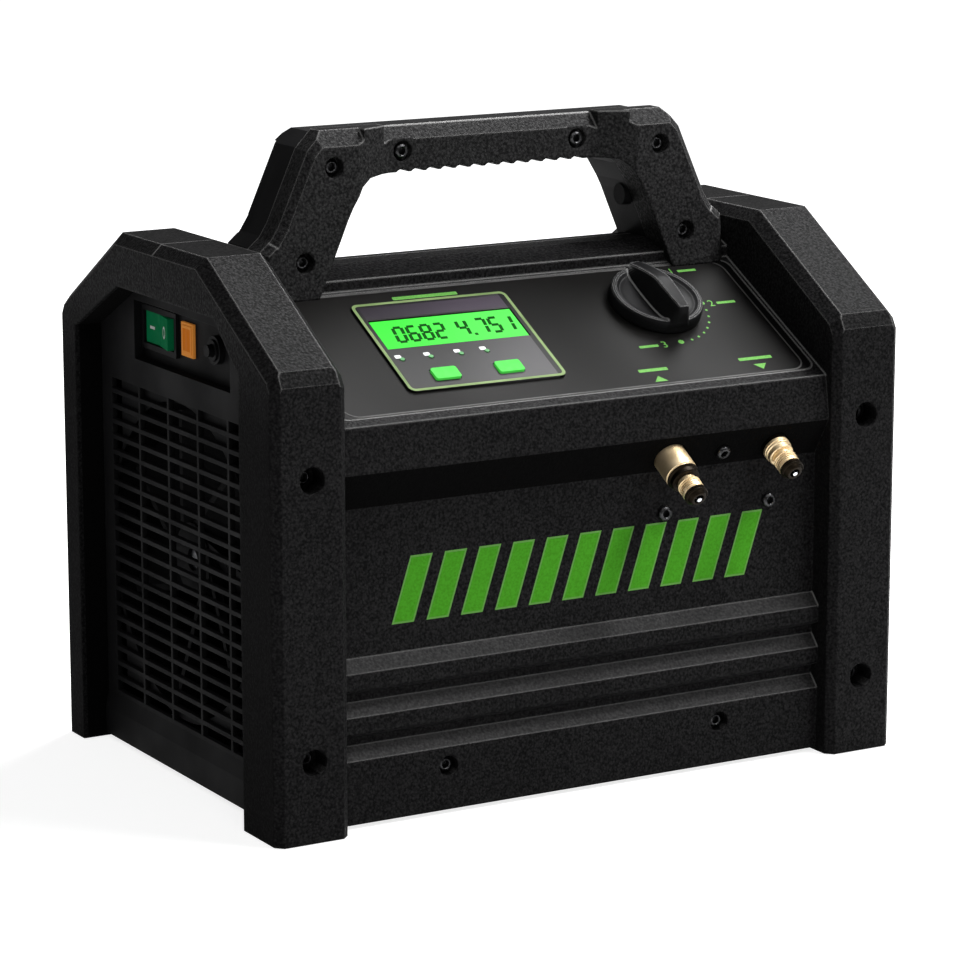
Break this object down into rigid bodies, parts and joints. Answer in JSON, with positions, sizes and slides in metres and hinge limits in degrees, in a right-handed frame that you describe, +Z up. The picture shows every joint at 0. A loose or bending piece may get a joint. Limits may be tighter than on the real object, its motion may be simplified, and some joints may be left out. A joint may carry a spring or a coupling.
{
  "type": "refrigerant recovery machine",
  "caption": "Portable refrigerant recovery machine: black clamshell housing with carry handle, sloped console with display and selector knob, louvred ends, angled brass flare fittings.",
  "frame": {"origin": "middle of the footprint of the end frames, on the floor", "axes": "+Z up, the console and fittings face -Y, +X is the machine's right seen from the front"},
  "size_m": [0.38, 0.2738, 0.347],
  "materials": {
    "textured_black": "fine textured black moulding",
    "smooth_black": "smooth black moulding",
    "panel_satin": "satin charcoal overlay",
    "bezel_satin": "satin dark grey overlay with green outline",
    "display": "backlit green display",
    "green_button": "translucent green",
    "lamp_white": "clear lamp",
    "knob_black": "satin black knob",
    "brass": "turned brass",
    "steel": "turned steel",
    "screw_black": "black oxide",
    "rocker_green": "dark green",
    "amber": "amber lens",
    "cast_alloy": "cast alloy",
    "motor_grey": "painted motor shell",
    "copper": "bare copper",
    "board_green": "circuit board",
    "zinc": "zinc plated sheet",
    "rubber": "black rubber",
    "fan_black": "smooth black fan"
  },
  "bodies": {
    "machine": {"housing_front": "textured_black", "housing_rear": "textured_black", "handle_front": "textured_black", "handle_rear": "smooth_black", "grille_left": "smooth_black", "grille_right": "smooth_black", "console_panel": "panel_satin", "display_bezel": "bezel_satin", "display_glass": "display", "display_board": "board_green", "status_lamps": "lamp_white", "valve_block": "cast_alloy", "inlet_fitting": "brass", "outlet_fitting": "brass", "manifold_screws": "screw_black", "frame_screws": "screw_black", "bottom_screws": "screw_black", "handle_screws": "screw_black", "rocker_frame": "smooth_black", "lamp_lens": "amber", "breaker_body": "smooth_black", "breaker_nut": "smooth_black", "power_inlet": "smooth_black", "inlet_pins": "steel", "fan_shroud": "smooth_black", "motor": "motor_grey", "crankcase": "cast_alloy", "cylinder_heads": "cast_alloy", "condenser": "copper", "suction_pipe": "copper", "discharge_pipe": "copper", "control_board": "board_green", "base_plate": "zinc", "rubber_mounts": "rubber"},
    "knob": {"knob": "knob_black", "spindle": "steel"},
    "rocker": {"rocker": "rocker_green"},
    "button_left": {"button_left": "green_button"},
    "button_right": {"button_right": "green_button"},
    "breaker_button": {"breaker_button": "smooth_black"},
    "fan": {"fan": "fan_black", "motor_shaft": "steel"},
    "inlet_core": {"inlet_core": "steel"},
    "outlet_core": {"outlet_core": "steel"}
  },
  "joints": [
    {"name": "knob_turn", "type": "hinge", "parent": "machine", "child": "knob", "pos_m": [0.079, -0.05463, 0.24429], "axis": [0, 0.4648, -0.8854], "range_deg": [0, 180]},
    {"name": "rocker_tip", "type": "hinge", "parent": "machine", "child": "rocker", "pos_m": [-0.1615, 0.0425, 0.238], "axis": [0, 0, 1], "range_deg": [0, 12]},
    {"name": "button_left_push", "type": "slide", "parent": "machine", "child": "button_left", "axis": [0, 0.4648, -0.8854], "range_m": [0, 0.0008], "stiffness_N_per_m": 800},
    {"name": "button_right_push", "type": "slide", "parent": "machine", "child": "button_right", "axis": [0, 0.4648, -0.8854], "range_m": [0, 0.0008], "stiffness_N_per_m": 800},
    {"name": "breaker_push", "type": "slide", "parent": "machine", "child": "breaker_button", "axis": [1, 0, 0], "range_m": [0, 0.003], "stiffness_N_per_m": 600},
    {"name": "fan_spin", "type": "hinge", "parent": "machine", "child": "fan", "pos_m": [-0.15, 0.016, 0.118], "axis": [1, 0, 0], "continuous": true},
    {"name": "inlet_core_push", "type": "slide", "parent": "machine", "child": "inlet_core", "axis": [0, 0.8572, 0.515], "range_m": [0, 0.0015], "stiffness_N_per_m": 1000},
    {"name": "outlet_core_push", "type": "slide", "parent": "machine", "child": "outlet_core", "axis": [0, 0.8572, 0.515], "range_m": [0, 0.0015], "stiffness_N_per_m": 1000}
  ]
}
